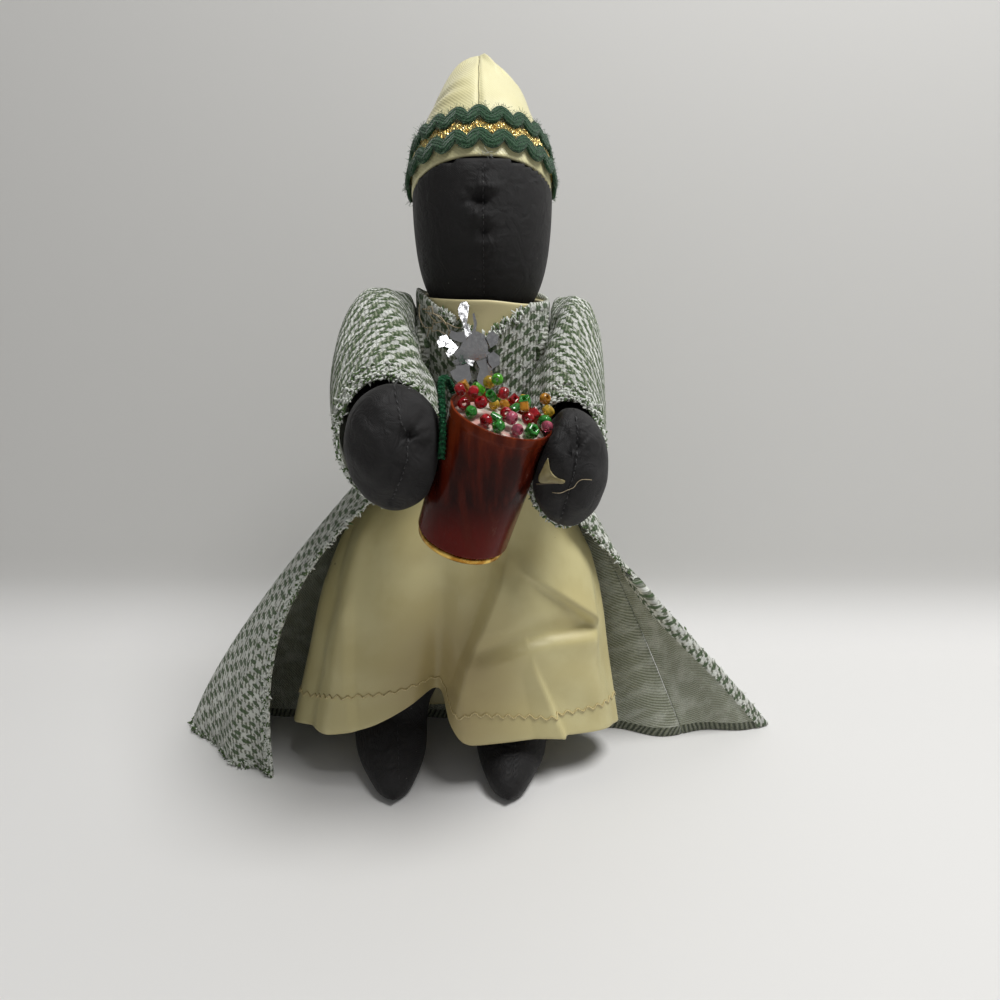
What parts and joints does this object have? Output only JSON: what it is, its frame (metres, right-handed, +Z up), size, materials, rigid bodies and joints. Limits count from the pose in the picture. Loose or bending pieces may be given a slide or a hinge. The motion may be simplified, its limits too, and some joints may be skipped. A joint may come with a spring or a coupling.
{
  "type": "cloth folk art doll",
  "caption": "Stuffed cloth folk art doll in a satin gown, open tweed coat and braid-trimmed cap, holding a cup of beads in both hands.",
  "frame": {"origin": "middle of the doll's bounding box, on the floor it stands on", "axes": "+Z up, the doll faces -Y, its own right hand is on the -X side"},
  "size_m": [0.294, 0.1202, 0.305],
  "materials": {
    "black_cotton": "plain woven matt cotton",
    "cap_satin": "cream satin",
    "gown_satin": "olive cream satin",
    "tweed": "slubby green and white knit",
    "green_braid": "fuzzy wavy braid",
    "gold_braid": "metallic thread braid",
    "amber_plastic": "scuffed translucent plastic",
    "gold_plastic": "gold lacquer",
    "foam": "soft white foam",
    "silver_foil": "bright foil",
    "green_cord": "metallic twisted cord",
    "bead_red": "clear moulded plastic",
    "bead_green": "clear moulded plastic",
    "bead_yellow": "clear moulded plastic",
    "bead_amber": "clear moulded plastic",
    "bead_pink": "clear moulded plastic"
  },
  "bodies": {
    "root": {"torso": "black_cotton", "gown": "gown_satin", "coat_back": "tweed", "coat_right_front": "tweed", "coat_left_front": "tweed", "foil_star": "silver_foil"},
    "neck": {"neck": "black_cotton"},
    "head": {"head": "black_cotton"},
    "cap": {"cap": "cap_satin", "trim_gold": "gold_braid", "trim_green_lower": "green_braid", "trim_green_upper": "green_braid"},
    "arms": {"right_arm": "black_cotton", "left_arm": "black_cotton", "coat_right_sleeve": "tweed", "coat_left_sleeve": "tweed", "cup": "amber_plastic", "cup_foot_ring": "gold_plastic", "foam_filling": "foam", "green_cord": "green_cord", "bead_01": "bead_red", "bead_02": "bead_green", "bead_03": "bead_green", "bead_04": "bead_pink", "bead_05": "bead_pink", "bead_06": "bead_red", "bead_07": "bead_red", "bead_08": "bead_pink", "bead_09": "bead_green", "bead_10": "bead_red", "bead_11": "bead_red", "bead_12": "bead_green", "bead_13": "bead_amber", "bead_14": "bead_green", "bead_15": "bead_yellow", "bead_16": "bead_red", "bead_17": "bead_amber", "bead_18": "bead_amber", "bead_19": "bead_green", "bead_20": "bead_yellow", "bead_21": "bead_red", "bead_22": "bead_red", "bead_23": "bead_green", "bead_24": "bead_green", "bead_25": "bead_yellow", "bead_26": "bead_yellow", "bead_27": "bead_green", "bead_28": "bead_amber", "bead_29": "bead_red", "bead_30": "bead_red", "bead_31": "bead_green", "bead_32": "bead_green"},
    "right_leg": {"right_leg": "black_cotton"},
    "left_leg": {"left_leg": "black_cotton"}
  },
  "joints": [
    {"name": "neck_turn", "type": "hinge", "parent": "root", "child": "neck", "pos_m": [0.00303, 0.02213, 0.196], "axis": [0, 0, 1], "range_deg": [-30, 30]},
    {"name": "head_nod", "type": "hinge", "parent": "neck", "child": "head", "pos_m": [0.00303, 0.02213, 0.205], "axis": [1, 0, 0], "range_deg": [-5, 6]},
    {"name": "cap_lift", "type": "slide", "parent": "head", "child": "cap", "axis": [-0.0179, 0.515, 0.857], "range_m": [0, 0.06]},
    {"name": "arms_swing", "type": "hinge", "parent": "root", "child": "arms", "pos_m": [0.00303, 0.02213, 0.19], "axis": [-1, 0, 0], "range_deg": [-5, 40]},
    {"name": "right_leg_swing", "type": "hinge", "parent": "root", "child": "right_leg", "pos_m": [-0.00947, 0.01913, 0.07], "axis": [-1, 0, 0], "range_deg": [-5, 8]},
    {"name": "left_leg_swing", "type": "hinge", "parent": "root", "child": "left_leg", "pos_m": [0.01553, 0.01913, 0.07], "axis": [-1, 0, 0], "range_deg": [-5, 5]}
  ]
}
